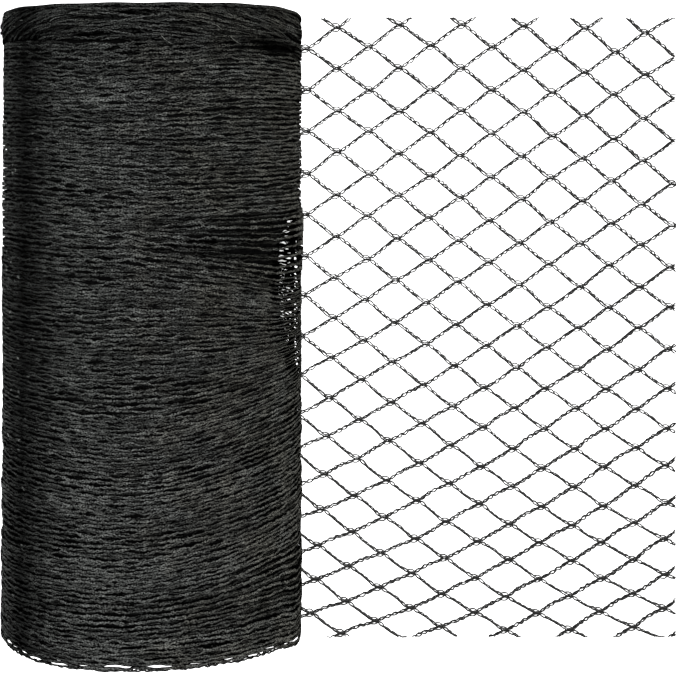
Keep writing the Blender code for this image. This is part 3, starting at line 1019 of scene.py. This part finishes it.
def knot(column, row):
    """Place of a knot: the solid's lattice, drifted, spread and closed up towards the cuts,
    and bowed a little more than in the solid."""
    u, v = column / COLUMNS_EACH_WAY, row / ROWS_EACH_WAY
    x = NET_MIDDLE[0] + net_sizes().half_mesh * column + NET_DRIFT * v + NET_SPREAD * u * v
    x = x + NET_BELLY * v * v * (1.0 + NET_BELLY_SIDE * u) + NET_CURL * (u * u + v**3)
    y = NET_MIDDLE[1] + net_sizes().half_row * row + ROW_SLOPE * u
    y = y + ROW_TURN * u * v + (ROW_BOW + ROW_BOW_BELOW * v) * u * u
    y = y + ROW_CLOSING * v * v + ROW_PULL * v**3
    return x, y


def uneven_knot(column, row):
    """A knot moved by up to half a millimetre, always the same for the same knot."""
    x, y = knot(column, row)
    x = x + 0.0005 * np.sin(1.7 * column + 2.3 * row) * np.cos(0.9 * row - 1.1 * column)
    y = y + 0.0005 * np.sin(2.1 * row + 0.8 * column) * np.cos(1.3 * column + 0.4 * row)
    return x, y


def tight(y):
    """0 in the upper part of the net, 1 where its bars are pulled tight."""
    return step(-y, *TIGHT_BELOW)


def wale(number, per_step):
    """Centre line of one knitted strand of the net: it runs towards +X and joins the strand
    above it and the one below it by turns. A step is a bar of four loops, which bulges a
    little and ends at the next joint, and the joint itself, one loop long, in which the strand
    closes up to its neighbour. Gives the points, the loops passed since the last joint and
    the side that the loops are on."""
    column = FIRST_COLUMN + np.arange(NET_COLUMNS)[:, None]
    up_here = (column + number) % 2 != 0
    row_here = np.where(up_here, number, number + 1)
    row_next = np.where(up_here, number + 1, number)
    x0, y0 = uneven_knot(column, row_here)
    x1, y1 = uneven_knot(column + 1, row_next)
    side = np.where(row_here > row_next, 1.0, -1.0)
    loops = LOOPS_A_STEP * np.arange(per_step)[None, :] / per_step
    along_bar = np.clip(loops / (LOOPS_A_STEP - 1.0), 0.0, 1.0)
    along_joint = np.clip(loops - (LOOPS_A_STEP - 1.0), 0.0, 1.0)
    start_x, start_y = x0 + JOINT_RIGHT, y0 - side * JOINT_CLOSED
    stop_x, stop_y = x1 - JOINT_LEFT, y1 + side * JOINT_OPEN
    x = start_x + (stop_x - start_x) * along_bar + (JOINT_LEFT + JOINT_RIGHT) * along_joint
    y = start_y + (stop_y - start_y) * along_bar
    y = y - side * (JOINT_OPEN - JOINT_CLOSED) * along_joint
    bow = BAR_BOW * np.sin(2.6 * column + 1.7 * number) + 0.6 * BAR_BOW * (side < 0.0) * tight(y)
    bow = bow * at_least(0.4, tight(y)) * np.sin(math.pi * along_bar)
    x, y = x + 0.55 * side * bow, y + 0.83 * bow
    return [values.ravel() for values in np.broadcast_arrays(x, y, loops, side)]


def inside_cut(x, y):
    """True inside the net's straight cuts, and outside the roll's underside."""
    share = (y - NET_RIGHT_BOTTOM[1]) / (NET_RIGHT_TOP[1] - NET_RIGHT_BOTTOM[1])
    right = NET_RIGHT_BOTTOM[0] + (NET_RIGHT_TOP[0] - NET_RIGHT_BOTTOM[0]) * share
    return (x < right) & (x > NET_LOW[0] + 0.0004) & (y < NET_RIGHT_TOP[1]) & (y > NET_RIGHT_BOTTOM[1])


def runs_of(mask):
    """Start and end of each unbroken stretch of True that isn't too short."""
    edges = np.flatnonzero(np.diff(np.concatenate([[0], mask.astype(int), [0]])))
    return [(a, b) for a, b in zip(edges[::2], edges[1::2]) if b - a >= SHORTEST_RUN]


def laid_tube(centre, width, flatness, sides, tone):
    """One open tube on the floor, flatter than it is wide."""
    normal = np.broadcast_to(np.array([0.0, 0.0, 1.0]), centre.shape)
    return tubes(centre[None], normal[None], width[None], flatness * width[None], sides, False,
                 NET_LOOPS_PER_METRE, tone)


def net_thread(thread, half):
    """One of the three threads of every strand. Its sideways place is read from the path by
    the loops passed, kept a little uneven, and turned to the side that the loops are on. Where
    the net is pulled tight one kind of bar closes up, and in the other the inlay thins and
    winds to and fro."""
    rng = np.random.default_rng(thread.seed)
    at, off = np.array(thread.path).T
    parts = []
    for number in range(-WALES_EACH_WAY, WALES_EACH_WAY + 1):
        x, y, loops, side = wale(number, thread.per_step)
        dx, dy = np.gradient(x), np.gradient(y)
        long = np.hypot(dx, dy)
        run = np.arange(len(x)) / thread.per_step * LOOPS_A_STEP
        own_waves = partial(waves, rng, run / LOOPS_A_STEP, 0.0 * run)
        uneven = own_waves(8, 12)
        in_bar = step(loops, 0.6, 1.2) * (1.0 - step(loops, 3.2, 3.8))
        pull = tight(y)
        size = 1.0 + 0.15 * own_waves(7, 20)
        size = size * (1.0 + pull * np.where(side > 0.0, -TIGHTER, 0.12) * in_bar)
        width_here, rope = 1.0, 0.0
        if thread is INLAY:
            thinner = np.where(side < 0.0, -0.32 * in_bar, 0.06)
            width_here = 1.0 + pull * thinner - 0.25 * step(loops, 4.1, 4.5)
            rope = ROPE * pull * (side < 0.0) * in_bar * np.sin(TURN * loops + 1.0)
        phase = 0.35 * in_bar * own_waves(6, 6)
        shift = 0.001 * side * (size * np.interp(loops + phase, at, off) + rope) + 0.00005 * uneven
        x, y = x - dy / long * shift, y + dx / long * shift
        z = THREAD_HEIGHT + thread.rise + 0.00004 * np.sin(math.pi * run + thread.rise * 9000.0)
        width = half * width_here * (1.0 + 0.08 * own_waves(6, 16))
        points = np.stack([x, y, z], axis=-1)
        for a, b in runs_of(inside_cut(x, y)):
            parts.append(laid_tube(points[a:b], width[a:b], 0.80, thread.sides, thread.tone))
    return parts


def joint_wraps():
    """Short thick wraps across the right end of every joint, where all threads meet. Each
    leans and bows a little in its own way, and arches by 1 - share^2."""
    rng = np.random.default_rng(WRAP_SEED)
    share = np.linspace(-1.0, 1.0, 6)
    arch = 1.0 - share**2
    parts = []
    for row in range(-WALES_EACH_WAY, WALES_EACH_WAY + 1):
        for column in range(FIRST_COLUMN + row % 2, FIRST_COLUMN + NET_COLUMNS, 2):
            x, y = uneven_knot(column, row)
            x = x + JOINT_RIGHT
            if not inside_cut(np.array([x - 0.001]), np.array([y]))[0]:
                continue
            lean, reach = rng.normal(0.0, 0.00022), JOINT_CLOSED + 0.00030 + rng.uniform(-1.0, 1.0) * 0.0001
            bow = rng.uniform(0.0, 0.0003)
            centre = np.stack([x + lean * share + bow * arch, y - reach * share,
                               0.00030 + 0.00015 * arch], axis=-1)
            parts.append(laid_tube(centre, 0.00019 - 0.00004 * share**2, 0.5, 5, 0.7))
    return parts


def loose_net():
    """The net's ground, which is the inlay and the open loops, and the close loops with the
    wraps of the joints."""
    inlay, loop = net_sizes().inlay_thread / 2.0, net_sizes().loop_thread / 2.0
    pieces = {
        "net_ground": net_thread(INLAY, inlay) + net_thread(OPEN_LOOPS, loop),
        "net_close_loops": net_thread(CLOSE_LOOPS, loop) + joint_wraps(),
    }
    for name, parts in pieces.items():
        obj = new_mesh_object(name, *joined(parts))
        finish_piece(obj, net_material(), "loose_net")


# ------------------------ stage


def floor_material():
    material = bpy.data.materials.new("pale_floor")
    material.use_nodes = True
    tree = material.node_tree
    feed(tree, tree.nodes["Principled BSDF"], {"Base Color": (*colours().floor, 1.0), "Roughness": 0.9})
    return material


def area_light(name, place, target, size, power):
    data = bpy.data.lights.new(name, "AREA")
    data.shape, data.size, data.energy = "DISK", size, power
    obj = bpy.data.objects.new(name, data)
    bpy.context.scene.collection.objects.link(obj)
    obj.location = place
    look = np.array(target) - np.array(place)
    obj.rotation_mode = "QUATERNION"
    obj.rotation_quaternion = Vector(look).to_track_quat("-Z", "Y")


# ------------------------ operators


class PackedTurnsOperator(bpy.types.Operator):
    """Make the dark body of packed turns under the strands"""

    bl_idname = "netting.packed_turns"
    bl_label = "Packed Turns"

    def execute(self, context):
        packed_turns()
        return {"FINISHED"}


class WoundStrandsOperator(bpy.types.Operator):
    """Make the layers of knitted strands wound round the roll"""

    bl_idname = "netting.wound_strands"
    bl_label = "Wound Strands"

    def execute(self, context):
        for layer in LAYERS:
            wound_layer(layer)
        return {"FINISHED"}


class LipAndEndsOperator(bpy.types.Operator):
    """Make the folded lip and the windings that show on the ends"""

    bl_idname = "netting.lip_and_ends"
    bl_label = "Lip and Ends"

    def execute(self, context):
        folded_lip()
        lip_hem()
        stray_threads()
        rim_cord()
        for end in (0, 1):
            end_winding(end)
        return {"FINISHED"}


class LooseNetOperator(bpy.types.Operator):
    """Make the loose end of the net"""

    bl_idname = "netting.loose_net"
    bl_label = "Loose Net"

    def execute(self, context):
        loose_net()
        return {"FINISHED"}


class StageOperator(bpy.types.Operator):
    """Make the floor, the lights and the camera"""

    bl_idname = "netting.stage"
    bl_label = "Stage"

    def execute(self, context):
        scene = context.scene
        bpy.ops.mesh.primitive_circle_add(
            vertices=96, radius=FLOOR_RADIUS, fill_type="NGON", location=(0.1, 0.0, 0.0))
        floor = context.object
        floor.name = "floor"
        floor.data.materials.append(floor_material())
        world = bpy.data.worlds.new("studio")
        scene.world = world
        world.use_nodes = True
        tree = world.node_tree
        # A white backdrop that lights the object only a little
        seen = node(tree, "ShaderNodeLightPath").outputs["Is Camera Ray"]
        strength = maths(tree, "ADD", maths(tree, "MULTIPLY", seen, 1.0 - BACKDROP), BACKDROP)
        feed(tree, tree.nodes["Background"], {"Color": (1.0, 1.0, 1.0, 1.0), "Strength": strength})
        area_light("key", **KEY_LIGHT)
        camera = bpy.data.cameras.new("camera")
        camera.lens = CAMERA_LENS
        camera.sensor_width = 36.0
        camera.shift_y = CAMERA_SHIFT
        holder = bpy.data.objects.new("camera", camera)
        scene.collection.objects.link(holder)
        holder.location = CAMERA_PLACE
        holder.rotation_euler = (CAMERA_PITCH, 0.0, 0.0)
        scene.camera = holder
        scene.view_settings.view_transform = "Standard"
        return {"FINISHED"}


class NettingPanel(bpy.types.Panel):
    """Lists the pieces of the netting roll"""

    bl_idname = "NETTING_PT_pieces"
    bl_label = "Bird Netting Roll"
    bl_space_type = "VIEW_3D"
    bl_region_type = "UI"
    bl_category = "Netting"

    def draw(self, context):
        for operator in OPERATORS:
            self.layout.operator(operator.bl_idname)


OPERATORS = (PackedTurnsOperator, WoundStrandsOperator, LipAndEndsOperator, LooseNetOperator, StageOperator)
GROUPS = (NettingRollSizes, NettingNetSizes, NettingColours)


def register():
    for cls in GROUPS + OPERATORS + (NettingPanel,):
        bpy.utils.register_class(cls)
    bpy.types.Scene.netting_roll = bpy.props.PointerProperty(type=NettingRollSizes)
    bpy.types.Scene.netting_net = bpy.props.PointerProperty(type=NettingNetSizes)
    bpy.types.Scene.netting_colours = bpy.props.PointerProperty(type=NettingColours)


def unregister():
    del bpy.types.Scene.netting_colours
    del bpy.types.Scene.netting_net
    del bpy.types.Scene.netting_roll
    for cls in reversed(GROUPS + OPERATORS + (NettingPanel,)):
        bpy.utils.unregister_class(cls)


def main():
    register()
    bpy.ops.netting.packed_turns()
    bpy.ops.netting.wound_strands()
    bpy.ops.netting.lip_and_ends()
    bpy.ops.netting.loose_net()
    bpy.ops.netting.stage()


if __name__ == "__main__":
    main()
